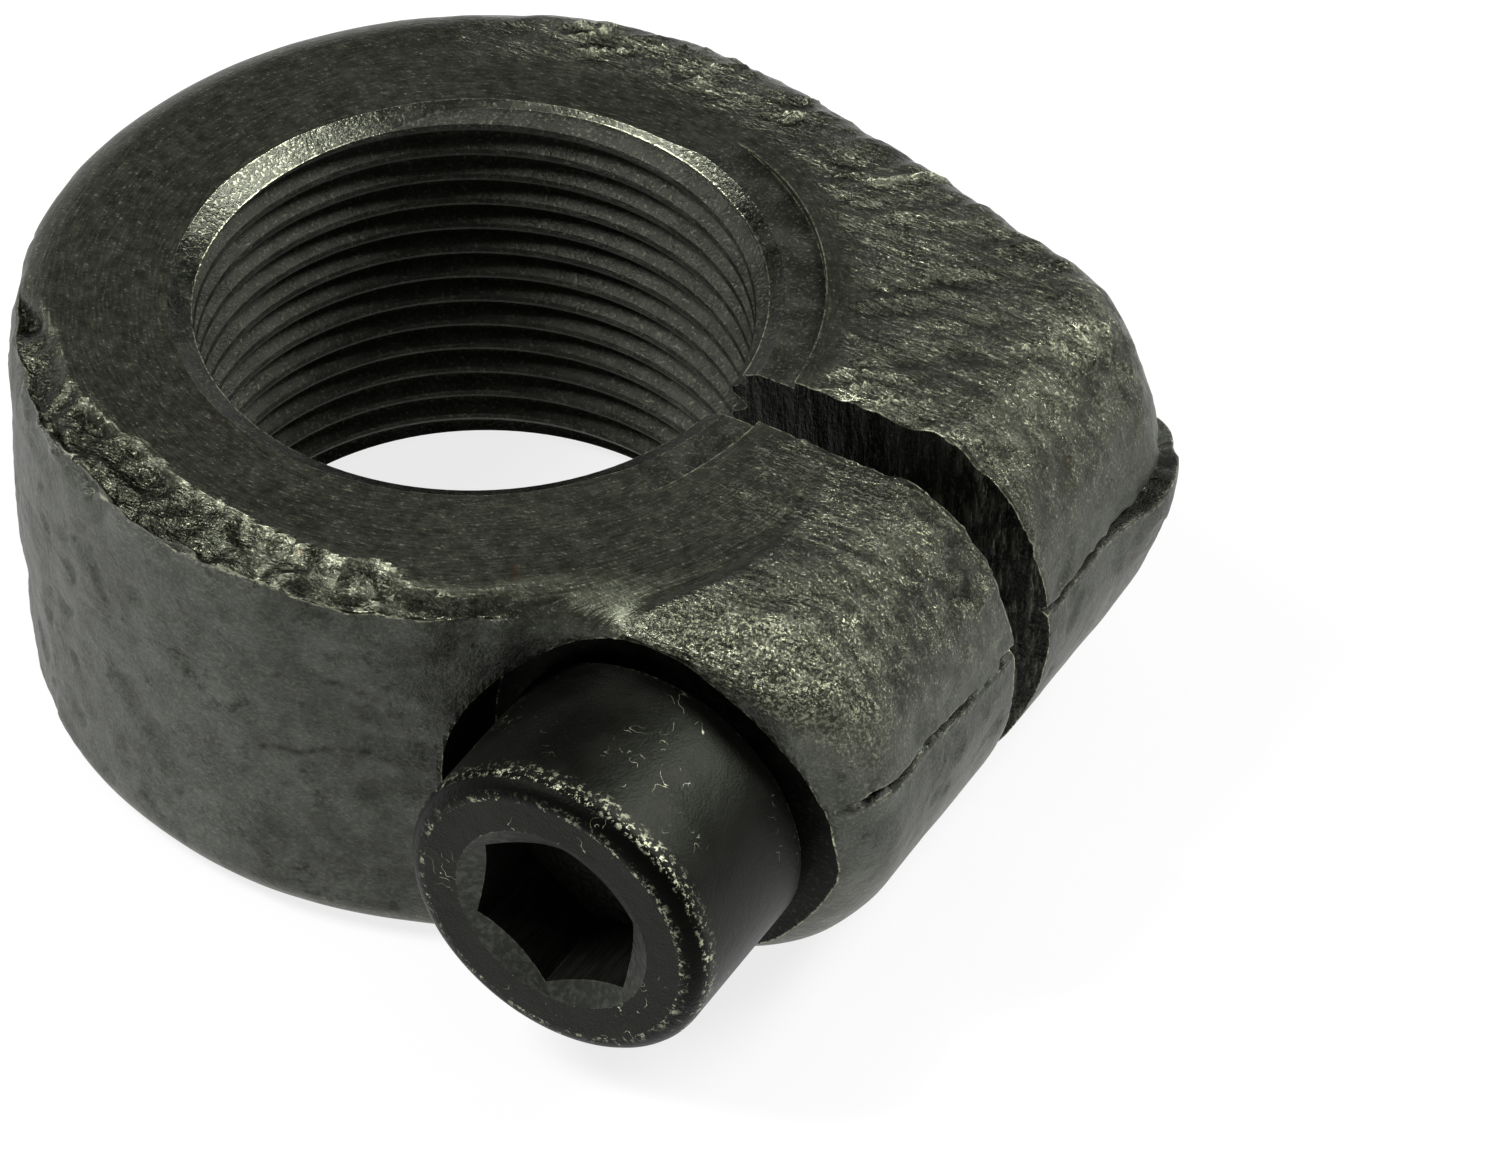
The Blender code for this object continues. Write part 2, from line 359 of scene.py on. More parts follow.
def add_waves(skin):
    """Long waves of the whole skin."""
    waves = 0.07 * field(skin.points, 0.22, 1) + 0.04 * field(skin.points, 0.55, 2)
    skin.out += waves * (0.35 + 0.65 * np.clip(skin.side + smooth(12.5, 15.5, skin.x), 0, 1))


def add_creases(skin):
    """Creases on top of the ears, and the dip that bounds them on the near ear.

    Returns where they lie, where their crests show bright (partly bare metal, partly painted
    highlight), and a painted highlight along the near ear's edge.
    """
    along = skin.x * math.cos(CREASE_LIE) + skin.y * math.sin(CREASE_LIE)
    across = -skin.x * math.sin(CREASE_LIE) + skin.y * math.cos(CREASE_LIE)
    stretched = np.column_stack([along * 0.35, across, skin.z])
    upper = smooth(0.1, 0.6, skin.top)
    near_ear = skin.window(*NEAR_EAR_WINDOW) * smooth(-0.1, 0.6, skin.from_dip)
    far_ear = skin.window(*FAR_EAR_WINDOW) * smooth(FACED_R + 0.1, FACED_R + 1.6, skin.radius)
    creased = (near_ear + 0.8 * far_ear) * upper
    folds = 0.20 - np.abs(field(stretched, 0.55, 5, 3))
    lumps = 0.20 - np.abs(field(stretched * [1.6, 1.0, 1.0], 1.3, 6, 2))
    sparse = smooth(-0.05, 0.25, field(skin.plan, 0.22, 21, 2))
    crests = np.exp(-((field(stretched * [0.8, 1.0, 1.0], 0.75, 22, 2) / 0.07) ** 2)) * sparse
    skin.out += far_ear * upper * (0.24 * folds + 0.07 * lumps + 0.15 * crests)
    skin.out += near_ear * upper * (0.10 * folds + 0.08 * lumps + 0.03 * crests)
    dip = np.exp(-((skin.from_dip / 0.5) ** 2)) * skin.window(*DIP_WINDOW)
    skin.out -= DIP_DEPTH * (dip * smooth(0.9, 1, skin.top))
    # A painted highlight along the near ear's near edge.
    near_edge_highlight = 0.4 * near_ear * smooth(-6.8, -8.6, skin.y) * smooth(0.15, 0.5, skin.top)
    # The crests' bright colour is partly bare metal, partly painted highlight.
    return creased, 1.2 * crests * creased, near_edge_highlight


def add_torn_rim(skin):
    """The rim that the trimming die tore on the near side: lumps behind a ridge.

    Towards the screw it is rolled over and smoother, and its lip there is painted as shade.
    Returns where it is rough, how far it drops and a painted highlight along the ridge.
    """
    torn = skin.window(*TORN_WINDOW)
    away = np.degrees(skin.angle) - TORN_MIDDLE
    inner = TORN_INNER_R + np.where(away < 0, 0.0008, 0.0007) * away**2
    inner += 0.5 * field(skin.plan, 0.5, 8, 2)
    past = skin.radius - inner
    rim = torn * smooth(-0.10, 0.40, past) * smooth(12.6, 13.5, skin.z)
    slump = smooth(0.0, 1.0, past / np.maximum(TORN_OUTER_R - inner, 0.4))
    crumbs = field(skin.points, 0.7, 9, 2) + 0.35 * field(skin.points, 1.7, 10, 2)
    drop = rim * (0.12 + 0.34 * slump + 0.34 * crumbs) * smooth(0.1, 0.7, skin.top)
    uneven = np.clip(0.8 + field(skin.plan, 1.3, 20), 0, 1)
    ridge = torn * skin.window(*RIDGE_WINDOW) * smooth(0.5, 0.9, skin.top)
    ridge *= np.exp(-(((past - 0.10) / 0.22) ** 2)) * uneven
    skin.out += rim * (0.15 * field(skin.points, 1.1, 11, 2) - 0.15 * skin.top)
    skin.out += rim * 0.10 * (0.2 - np.abs(field(skin.points, 1.0, 18, 2)))
    bites = 0.18 + 0.42 * field(skin.points, 0.55, 25, 2)
    skin.out -= torn * smooth(11.6, 13.4, skin.z) * skin.side * bites
    rolled = skin.window(*ROLLED_WINDOW) * smooth(0.15, 0.6, past)
    drop = np.maximum(drop, 0.02) - 0.13 * ridge
    # Where rolled, the rough mask is halved: smoother relief and fewer pale specks, as painted
    # shade on the lip; the ridge's painted highlight doubles there.
    return rim * (1 - 0.5 * rolled), drop, 0.4 * ridge * (1 + rolled)


def below_parting(skin, ends):
    """How far each point lies below the ragged parting line."""
    ragged = 0.14 * field(skin.plan, 0.5, 12, 2) + 0.08 * field(skin.plan, 2.2, 13, 2)
    return PARTING_Z + PARTING_RISE * smooth(-1, -7, skin.y) * ends + ragged - skin.z


def add_parting_line(skin):
    """Die mismatch: a fine ragged crack at the parting line, deepest at the ends of the ears.

    A lip of flash is left at the far ear's corner. Returns where the crack is painted dark, as
    shade, and where the metal above it shows bright: partly bare metal, partly painted highlight.
    """
    ends = smooth(0.55, 0.95, skin.normals[:, 0]) * smooth(13, 16, skin.x)
    below = below_parting(skin, ends)
    edge = smooth(-0.02, 0.08, below)
    strength = skin.walls * (0.05 + 0.95 * ends)
    skin.out -= strength * 0.04 * (edge * np.exp(-np.clip(below, 0, 9) / 2))
    strength *= np.clip(1.05 + 1.2 * field(skin.plan, 1.9, 14, 2), 0, 1)
    skin.out -= PARTING_CRACK_DEPTH * (strength * np.exp(-((below / 0.10) ** 2)))
    lip = skin.window(*LIP_WINDOW) * skin.walls
    skin.out += LIP_REACH * lip * edge * np.exp(-((np.clip(below, 0, 9) / 2.2) ** 2))
    # Painted shade in the crack, centred a little below it, on its lower bank.
    gap = strength * np.exp(-(((below - 0.08) / 0.15) ** 4))
    # And a line of bright dots on the ledge below it: partly bare metal, partly painted highlight.
    return gap, 0.7 * (strength * np.exp(-(((below - 0.27) / 0.06) ** 2)))


def add_wall_flaws(skin):
    """A swelling at the ring's left, and pits and laps in the wall."""
    swell = SWELL_REACH * skin.window(*SWELL_WINDOW) * skin.walls
    skin.out += swell * smooth(3, 6, skin.z) * smooth(13.5, 11.5, skin.z)
    spots = field(skin.points, 0.8, 15, 2)
    skin.out -= skin.walls * 0.08 * smooth(0.28, 0.5, spots)
    laps = 0.030 * field(skin.points, 1.8, 16, 2) + 0.05 * field(skin.points, 0.45, 19)
    skin.out += skin.walls * laps


def rim_split(skin):
    """The crack that runs down from the torn rim."""
    away = np.degrees(skin.angle) - SPLIT_ANGLE - SPLIT_LEAN * (HEIGHT - skin.z)
    split = np.exp(-((away / 0.75) ** 2))
    split *= smooth(12.2, 13.0, skin.z) * skin.walls
    return split


def wall_crack(skin, path, seed):
    """A faint broken crack in the wall, along (angle in degrees, height) points."""
    around = np.degrees(skin.angle)
    zero = skin.angle * 0
    height = np.interp(around, [a for a, _ in path], [h for _, h in path])
    height += 0.25 * field(np.column_stack([around, zero, zero]), 0.21, seed, 3)
    patches = field(np.column_stack([around, skin.z, zero]), 0.35, seed + 3)
    broken = np.clip(0.4 + 2.2 * patches, 0, 1)
    ends = smooth(path[0][0] - 1, path[0][0] + 2, around)
    ends *= smooth(path[-1][0] + 1, path[-1][0] - 2, around)
    return np.exp(-(((skin.z - height) / 0.09) ** 2)) * broken * ends


def forge(grid):
    """Roughens the blank as forging, trimming and tumbling leave it.

    Returns the moved grid, and the masks that tell the material where each kind of skin is.
    """
    skin = Skin(grid)
    level = machined_depth(skin)
    add_waves(skin)
    creased, crest_bare_and_highlight, near_edge_highlight = add_creases(skin)
    torn, drop, ridge_highlight = add_torn_rim(skin)
    gap, burr_bare_and_highlight = add_parting_line(skin)
    add_wall_flaws(skin)

    moved = skin.points + skin.normals * skin.out[:, None]
    moved[:, 2] = np.maximum(moved[:, 2] - level - drop, 0.0)
    split = rim_split(skin)
    moved[:, :2] -= (SPLIT_DEPTH * split / skin.radius)[:, None] * skin.points[:, :2]

    cracks = sum(0.8 * wall_crack(skin, path, seed) for seed, path in WALL_CRACKS.items())
    # The cracks are painted near black: painted shade inside them.
    crack_shade = np.clip(gap + split, 0, 1) + cracks * skin.walls
    masks = {
        "torn": torn,
        "creased": creased,
        "wall": skin.walls,
        "crack_shade": crack_shade,
        "dirt_and_shade": skin.window(*DIRT_AND_SHADE_WINDOW) * skin.walls,
        # Bare metal and painted highlights, together.
        "bare_and_highlight": burr_bare_and_highlight + crest_bare_and_highlight + ridge_highlight + near_edge_highlight,
    }
    return moved.reshape(grid.shape), {name: np.clip(m, 0, 1) for name, m in masks.items()}


def grid_faces(rows, columns):
    """Faces between the grid's rows, closed by one face below and one above."""
    faces = []
    for row in range(rows - 1):
        for column in range(columns):
            after = (column + 1) % columns
            faces.append((
                row * columns + column,
                row * columns + after,
                (row + 1) * columns + after,
                (row + 1) * columns + column,
            ))
    faces.append(tuple(reversed(range(columns))))
    faces.append(tuple((rows - 1) * columns + c for c in range(columns)))
    return faces


def forged_blank():
    """The forging before any cut, with its masks as attributes for the material."""
    grid, masks = forge(blank_grid())
    rows, columns, _ = grid.shape
    obj = mesh_object("collar_forging", grid.reshape(-1, 3), grid_faces(rows, columns))
    for name, values in masks.items():
        layer = obj.data.attributes.new(name, "FLOAT", "POINT")
        layer.data.foreach_set("value", values.astype(np.float32))
    return obj


def thread_profile(phase, inner, outer):
    """Radius of a thread of about 60 degrees over one pitch, with its corners rounded off."""
    away = np.abs((phase + 0.5) % 1.0 - 0.5) * 2
    return inner + (outer - inner) * smooth(0.08, 0.96, away)


def helical_rod(name, inner, outer, low, high, around=120, per_turn=8):
    """A threaded rod on the Z axis, right-handed, whose rows follow the thread."""
    turns = math.ceil((high - low) / THREAD_PITCH) + 2
    rows = turns * per_turn + 1
    column = np.arange(around)
    row = np.arange(rows)
    theta = TURN * column / around
    turned_by = row[:, None] / per_turn + column[None, :] / around
    lift = np.clip(low - THREAD_PITCH + THREAD_PITCH * turned_by, low, high)
    share = (row / per_turn) % 1.0
    radius = thread_profile(share, inner, outer)[:, None] * np.ones(around)[None, :]
    points = np.stack([radius * np.cos(theta), radius * np.sin(theta), lift], 2).reshape(-1, 3)
    faces = []
    for r in range(rows - 1):
        for c in range(around):
            # Past the last column, the thread has risen by one turn.
            after = (c + 1) % around
            hop = 0 if after else per_turn
            if r + 1 + hop < rows:
                faces.append((
                    r * around + c,
                    (r + hop) * around + after,
                    (r + 1 + hop) * around + after,
                    (r + 1) * around + c,
                ))
    bottom = len(points)
    top = bottom + 1
    points = np.vstack([points, [[0, 0, low - 0.5], [0, 0, high + 0.5]]])
    first = list(range(around)) + [r * around for r in range(per_turn, -1, -1)]
    for a, b in zip(first, first[1:]):
        faces.append((b, a, bottom))
    last = [(rows - 1) * around + c for c in range(around)]
    last += [r * around + around - 1 for r in range(rows - 2, rows - 2 - per_turn, -1)]
    last.append((rows - 1) * around)
    for a, b in zip(last, last[1:]):
        faces.append((a, b, top))
    return mesh_object(name, points, faces)


def turned(name, profile, segments=96):
    """A closed shape turned about the Z axis from (radius, height) points, bottom to top."""
    theta = TURN * np.arange(segments) / segments
    rings = [np.column_stack([r * np.cos(theta), r * np.sin(theta), np.full(segments, z)])
             for r, z in profile]
    return mesh_object(name, np.vstack(rings), grid_faces(len(profile), segments))


def across_ears(obj, y=0.0):
    """Lays a shape made on the Z axis along the screw's axis, its top towards -Y."""
    turn = Matrix.Rotation(math.radians(90), 4, "X")
    obj.data.transform(Matrix.Translation(Vector((SCREW_X, y, SCREW_Z)) * MM) @ turn)
    return obj


def saw_blade():
    """The saw cut's volume, with the scratches of the blade's teeth on both its faces.

    Points lie 0.14 mm apart along the cut and 0.5 mm apart up it.
    """
    xs = np.arange(4.0, EAR_END_X + 3.0, 0.14)
    zs = np.arange(-2.0, HEIGHT + 2.5, 0.5)
    grid_x, grid_z = np.meshgrid(xs, zs, indexing="ij")
    flat = np.column_stack([grid_x.ravel(), grid_z.ravel(), np.zeros(grid_x.size)])
    lean = np.column_stack([flat[:, 0] + 0.12 * flat[:, 1], flat[:, 1] * 0.10, flat[:, 2]])
    sheets = []
    for seed, side in ((31, -1.0), (32, 1.0)):
        rough = 0.045 * field(lean, 2.2, seed, 2) + 0.05 * field(flat, 0.35, seed + 5)
        sheets.append(np.column_stack([flat[:, 0], side * (SLIT_W / 2 + rough), flat[:, 1]]))
    across, up = grid_x.shape
    count = across * up
    faces = []
    for i in range(across - 1):
        for j in range(up - 1):
            a = i * up + j
            near = (a, a + up, a + up + 1, a + 1)
            faces.append(near)
            faces.append(tuple(count + v for v in reversed(near)))
    border = [i * up for i in range(across)]
    border += [(across - 1) * up + j for j in range(1, up)]
    border += [i * up + up - 1 for i in range(across - 2, -1, -1)]
    border += list(range(up - 2, -1, -1))
    for a, b in zip(border, border[1:]):
        faces.append((b, a, count + a, count + b))
    return mesh_object("saw_blade", np.vstack(sheets), faces)


def cut(target, tool, slot=0, operation="DIFFERENCE"):
    """Boolean by a tool, which is then removed. The faces it leaves take a material slot."""
    tool.data.materials.clear()
    for material in target.data.materials:
        tool.data.materials.append(material)
    tool.data.polygons.foreach_set("material_index", [slot] * len(tool.data.polygons))
    modifier = target.modifiers.new("cut", "BOOLEAN")
    modifier.operation = operation
    modifier.solver = "MANIFOLD"
    modifier.object = tool
    graph = bpy.context.evaluated_depsgraph_get()
    mesh = bpy.data.meshes.new_from_object(target.evaluated_get(graph))
    if not len(mesh.polygons):
        raise RuntimeError("the cut by " + tool.name + " left nothing")
    target.modifiers.clear()
    old = target.data
    mesh.name = target.name
    target.data = mesh
    bpy.data.meshes.remove(old)
    bpy.data.objects.remove(tool, do_unlink=True)


# ---------------------------------------------------------------- materials

def smooth_range(nodes, low, high, start, end):
    """A node that maps low..high to start..end smoothly, and holds the ends."""
    node = nodes.new("ShaderNodeMapRange")
    node.interpolation_type = "SMOOTHSTEP"
    limits = {"From Min": low, "From Max": high, "To Min": start, "To Max": end}
    for name, number in limits.items():
        node.inputs[name].default_value = number
    return node


class Graph:
    """A short way to write a material's nodes. Scales are in features per millimetre."""

    def __init__(self, name):
        self.material = bpy.data.materials.new(name)
        self.material.use_nodes = True
        self.nodes = self.material.node_tree.nodes
        self.links = self.material.node_tree.links
        self.shader = self.nodes["Principled BSDF"]
        place = self.nodes.new("ShaderNodeTexCoord")
        scale = self.nodes.new("ShaderNodeVectorMath")
        scale.operation = "SCALE"
        scale.inputs["Scale"].default_value = 1 / MM
        self.links.new(place.outputs["Object"], scale.inputs[0])
        self.place = scale.outputs[0]

    def put(self, value, socket):
        if isinstance(value, bpy.types.NodeSocket):
            self.links.new(value, socket)
        else:
            socket.default_value = value

    def noise(self, scale, detail=2.0, rough=0.5, seed=0.0, stretch=None, turn=0.0):
        node = self.nodes.new("ShaderNodeTexNoise")
        node.inputs["Scale"].default_value = scale
        node.inputs["Detail"].default_value = detail
        node.inputs["Roughness"].default_value = rough
        mapping = self.nodes.new("ShaderNodeMapping")
        mapping.inputs["Location"].default_value = (seed * 5.3, seed * 2.9, seed * 1.7)
        if stretch:
            mapping.inputs["Scale"].default_value = stretch
        mapping.inputs["Rotation"].default_value = (0, 0, turn)
        self.links.new(self.place, mapping.inputs["Vector"])
        self.links.new(mapping.outputs["Vector"], node.inputs["Vector"])
        return node.outputs["Fac"]

    def math(self, operation, a, b=0.0, clamp=False):
        node = self.nodes.new("ShaderNodeMath")
        node.operation = operation
        node.use_clamp = clamp
        self.put(a, node.inputs[0])
        self.put(b, node.inputs[1])
        return node.outputs[0]

    def ramp(self, value, low, high, start=0.0, end=1.0):
        """Maps low..high to start..end smoothly, and holds the ends."""
        node = smooth_range(self.nodes, low, high, start, end)
        self.put(value, node.inputs["Value"])
        return node.outputs["Result"]

    def mix(self, share, a, b):
        node = self.nodes.new("ShaderNodeMix")
        node.data_type = "RGBA"
        self.put(share, node.inputs["Factor"])
        colours = [s for s in node.inputs if s.type == "RGBA"]
        for value, socket in zip((a, b), colours):
            self.put(value if isinstance(value, bpy.types.NodeSocket) else (*value, 1.0), socket)
        return [s for s in node.outputs if s.type == "RGBA"][0]

    def split(self, axis):
        node = self.nodes.new("ShaderNodeSeparateXYZ")
        self.links.new(self.place, node.inputs[0])
        return node.outputs[axis]

    def polar_noise(self, across, around, seed):
        """Noise drawn out along circles about Z: finer across them than around them."""
        join = self.nodes.new("ShaderNodeCombineXYZ")
        x = self.split("X")
        y = self.split("Y")
        radius = self.math("SQRT", self.math("ADD", self.times(x, x), self.times(y, y)))
        self.put(self.times(radius, across), join.inputs["X"])
        self.put(self.times(self.math("ARCTAN2", y, x), 10.0 * around), join.inputs["Y"])
        join.inputs["Z"].default_value = seed
        node = self.nodes.new("ShaderNodeTexNoise")
        node.inputs["Scale"].default_value = 1.0
        node.inputs["Detail"].default_value = 2.0
        self.links.new(join.outputs[0], node.inputs["Vector"])
        return node.outputs["Fac"]

    def attribute(self, name):
        node = self.nodes.new("ShaderNodeAttribute")
        node.attribute_name = name
        return node.outputs["Fac"]

    def add(self, *terms):
        total = terms[0]
        for term in terms[1:]:
            total = self.math("ADD", total, term)
        return total

    def times(self, *factors):
        total = factors[0]
        for factor in factors[1:]:
            total = self.math("MULTIPLY", total, factor)
        return total

    def edge_mask(self, radius, low=0.02, high=0.12):
        """Where the surface lies within radius of a sharp edge."""
        bevel = self.nodes.new("ShaderNodeBevel")
        bevel.samples = 4
        bevel.inputs["Radius"].default_value = radius * MM
        true = self.nodes.new("ShaderNodeNewGeometry")
        dot = self.nodes.new("ShaderNodeVectorMath")
        dot.operation = "DOT_PRODUCT"
        self.links.new(bevel.outputs["Normal"], dot.inputs[0])
        self.links.new(true.outputs["Normal"], dot.inputs[1])
        return self.ramp(self.math("SUBTRACT", 1.0, dot.outputs["Value"]), low, high)

    def finish(self, colour, roughness, height, depth, metallic):
        bump = self.nodes.new("ShaderNodeBump")
        bump.inputs["Strength"].default_value = 1.0
        bump.inputs["Distance"].default_value = depth * MM
        self.put(height, bump.inputs["Height"])
        self.put(colour, self.shader.inputs["Base Color"])
        self.put(roughness, self.shader.inputs["Roughness"])
        self.shader.inputs["Metallic"].default_value = metallic
        self.links.new(bump.outputs["Normal"], self.shader.inputs["Normal"])
        return self.material


DARK = (0.0115, 0.0125, 0.0085)
SCALE_GREY = (0.135, 0.143, 0.107)
WALL_GREY = (0.131, 0.137, 0.121)
# GLINT is the bright colour of bare metal, and also of painted highlights (glints).
GLINT = (0.66, 0.68, 0.48)
RUST = (0.075, 0.040, 0.022)
# The cracks' colour: painted shade inside them.
CRACK_SHADE_BLACK = (0.004, 0.004, 0.003)
# The screw rim's colour: painted shade over the rounded rim.
RIM_SHADE_BLACK = (0.0022, 0.0024, 0.0020)
SOCKET_EDGE = (0.30, 0.30, 0.26)


def forged_metal():
    """Black oxide over a forged skin: dull and speckled on top, paler on the walls."""
    g = Graph("forged_black_oxide")
    torn = g.attribute("torn")
    creased = g.attribute("creased")
    wall = g.attribute("wall")
    cloud = g.noise(0.35, 3, 0.6, 1)
    mottle = g.noise(2.2, 5, 0.75, 2)
    grain = g.noise(8.0, 3, 0.7, 3)
    fine = g.noise(11.0, 3, 0.7, 17, (0.6, 1.2, 1.0), math.radians(-33))
    lay = g.noise(1.1, 5, 0.72, 5, (0.35, 1.7, 1.0), math.radians(-38))
    leather = g.noise(3.4, 4, 0.65, 8, (0.42, 1.5, 1.0), math.radians(-33))
    turning = g.polar_noise(12.0, 1.6, 9)
    machined = g.math("SUBTRACT", 1.0, g.add(torn, creased, wall), clamp=True)

    paler = g.add(g.ramp(mottle, 0.38, 0.70, 0.0, 0.16), g.ramp(cloud, 0.4, 0.7, 0.0, 0.12),
                  g.times(wall, g.ramp(g.noise(0.7, 5, 0.72, 18), 0.30, 0.70, 0.34, 0.68)),
                  g.times(wall, g.ramp(fine, 0.36, 0.64, -0.10, 0.10)),
                  g.times(creased, g.ramp(lay, 0.38, 0.66, 0.03, 0.38)),
                  g.times(torn, g.ramp(leather, 0.38, 0.66, -0.12, 0.16)),
                  g.times(machined, g.ramp(turning, 0.35, 0.65, 0.18, 0.36)))
    pale = g.mix(wall, SCALE_GREY, WALL_GREY)
    colour = g.mix(g.math("MULTIPLY", paler, 1.0, clamp=True), DARK, pale)
    share = g.add(0.05, g.times(torn, 0.14), g.times(creased, g.ramp(lay, 0.40, 0.60), 0.50))
    share = g.add(share, g.times(machined, g.ramp(turning, 0.48, 0.64), 0.25))
    # Bright specks on the grain: partly worn dots, partly painted glints.
    glint_specks = g.times(g.ramp(fine, 0.54, 0.66), share)
    colour = g.mix(glint_specks, colour, GLINT)
    flaws = g.times(g.ramp(g.noise(0.9, 5, 0.75, 10), 0.57, 0.67), wall, 0.55)
    colour = g.mix(flaws, colour, DARK)
    edge = g.times(g.edge_mask(0.10), g.ramp(g.noise(5.0, 3, 0.7, 6), 0.40, 0.56))
    edge = g.times(edge, g.math("SUBTRACT", 1.0, g.times(torn, 0.8)))
    # Bright dots where metal shows bare, and painted highlights on crests, the torn ridge, the
    # ledge below the parting crack and the near ear's edge.
    edge = g.math("MAXIMUM", edge, g.times(g.attribute("bare_and_highlight"), g.ramp(grain, 0.48, 0.60), 0.55))
    colour = g.mix(g.times(edge, 0.8), colour, GLINT)
    # Darkens the wall beside the screw head: partly dirt, partly painted shade.
    dirt_and_shade = g.times(g.attribute("dirt_and_shade"), g.ramp(g.noise(0.8, 3, 0.6, 32), 0.30, 0.65, 0.15, 0.45))
    colour = g.mix(dirt_and_shade, colour, DARK)
    # Painted shade in the cracks.
    colour = g.mix(g.times(g.attribute("crack_shade"), 0.92), colour, CRACK_SHADE_BLACK)
    rust = g.times(g.ramp(g.noise(0.55, 2, 0.5, 7), 0.72, 0.80), 0.5)
    colour = g.mix(rust, colour, RUST)

    rough = g.ramp(mottle, 0.3, 0.7, 0.36, 0.46)
    rough = g.math("SUBTRACT", rough, g.times(g.add(torn, creased), 0.15))
    rough = g.math("ADD", rough, g.times(wall, 0.06))
    height = g.add(g.times(grain, g.add(0.10, g.times(wall, 0.16), g.times(creased, 0.22))),
                   g.times(leather, g.add(0.14, g.times(torn, 0.65), g.times(creased, 0.55))),
                   g.times(mottle, wall, 0.45),
                   g.times(turning, machined, 0.10),
                   g.times(lay, creased, 1.0))
    return g.finish(colour, rough, height, 0.15, 1.0)


def cut_metal(name, base, pale, rough, depth, glint_specks, worn=0.09, lay=None):
    """A cut surface under black oxide, with speckled bright edges."""
    g = Graph(name)
    grain = g.noise(8.0, 3, 0.7, 11)
    cloud = g.noise(1.1, 3, 0.6, 12)
    colour = g.mix(g.ramp(cloud, 0.35, 0.7), base, pale)
    if worn:
        edge = g.times(g.edge_mask(worn), g.ramp(g.noise(5.5, 3, 0.7, 13), 0.40, 0.56))
        colour = g.mix(edge, colour, GLINT)
    # Bright specks on the grain: partly worn dots, partly painted glints.
    colour = g.mix(g.times(g.ramp(grain, 0.54, 0.66), glint_specks), colour, GLINT)
    height = g.times(grain, 0.35)
    if lay:
        stripes = g.noise(3.4, 3, 0.65, 14, lay)
        # The stripes turn paler towards the slit's open end: painted light where light reaches
        # into the slit.
        open_end_light = g.ramp(g.split("X"), 13.0, 17.5, 0.04, 0.75)
        colour = g.mix(g.times(g.ramp(stripes, 0.44, 0.66), open_end_light), colour, SCALE_GREY)
        height = g.add(height, g.times(stripes, 1.4))
    roughness = g.ramp(cloud, 0.3, 0.7, rough - 0.05, rough + 0.05)
    return g.finish(colour, roughness, height, depth, 1.0)


def screw_metal():
    """Oiled black oxide: smooth and dark, scuffed, with bare metal along the rim and painted shade
    over the rim itself.
    """
    g = Graph("screw_black_oxide")
    cloud = g.noise(0.5, 2, 0.5, 21)
    grain = g.noise(12.0, 3, 0.65, 22)
    colour = g.mix(g.ramp(cloud, 0.35, 0.7), (0.0125, 0.0134, 0.0108), (0.0190, 0.0202, 0.0166))
    # The rim painted near black: painted shade over the rounded rim.
    colour = g.mix(g.times(g.attribute("rim"), 0.85), colour, RIM_SHADE_BLACK)
    edge = g.math("MAXIMUM", g.edge_mask(0.10), g.attribute("worn_rim"))
    edge = g.times(edge, g.ramp(g.noise(5.5, 4, 0.75, 23), 0.535, 0.60),
                   g.ramp(g.noise(0.8, 2, 0.5, 30), 0.35, 0.60, 0.30, 1.0))
    colour = g.mix(edge, colour, GLINT)
    scratch = g.math("ABSOLUTE", g.math("SUBTRACT", g.noise(2.2, 1, 0.5, 24), 0.5))
    scuff = g.times(g.ramp(scratch, 0.007, 0.0, 0.0, 1.0),
                    g.ramp(g.noise(1.9, 1, 0.5, 29), 0.54, 0.60),
                    g.ramp(g.noise(0.33, 2, 0.5, 25), 0.50, 0.60))
    colour = g.mix(g.times(scuff, 0.8), colour, GLINT)
    rough = g.ramp(cloud, 0.3, 0.7, 0.44, 0.50)
    height = g.add(g.times(grain, 0.60), g.times(g.noise(2.5, 2, 0.5, 26), 0.6))
    return g.finish(colour, rough, height, 0.030, 1.0)


def socket_metal():
    """The socket's walls, paler than the head."""
    g = Graph("socket_black_oxide")
    broach = g.noise(5.0, 3, 0.6, 27, (1.0, 0.15, 1.0))
    colour = g.mix(g.ramp(broach, 0.4, 0.7), (0.030, 0.032, 0.027), (0.058, 0.061, 0.052))
    edge = g.times(g.edge_mask(0.06), g.ramp(g.noise(3.0, 3, 0.7, 28), 0.50, 0.62))
    colour = g.mix(g.times(edge, 0.5), colour, SOCKET_EDGE)
    return g.finish(colour, 0.42, broach, 0.03, 1.0)


# ---------------------------------------------------------------- the two pieces

SHARP_ANGLE = math.radians(28)


def shade(obj):
    """Smooth shading, with edges sharper than SHARP_ANGLE kept."""
    obj.data.shade_smooth()
    obj.data.set_sharp_from_angle(angle=SHARP_ANGLE)


def countersink(z_mouth, up):
    """A cone of about 120 degrees that opens the bore at one face."""
    flare = CHAMFER_R - BORE_CREST_R
    slope = CHAMFER_RISE / flare
    deep, proud = 0.9, 0.6
    narrow = (CHAMFER_R - deep / slope, z_mouth - up * deep)
    wide = (CHAMFER_R + proud / slope, z_mouth + up * proud)
    ends = [narrow, wide] if up > 0 else [wide, narrow]
    return turned("countersink", ends, 120)


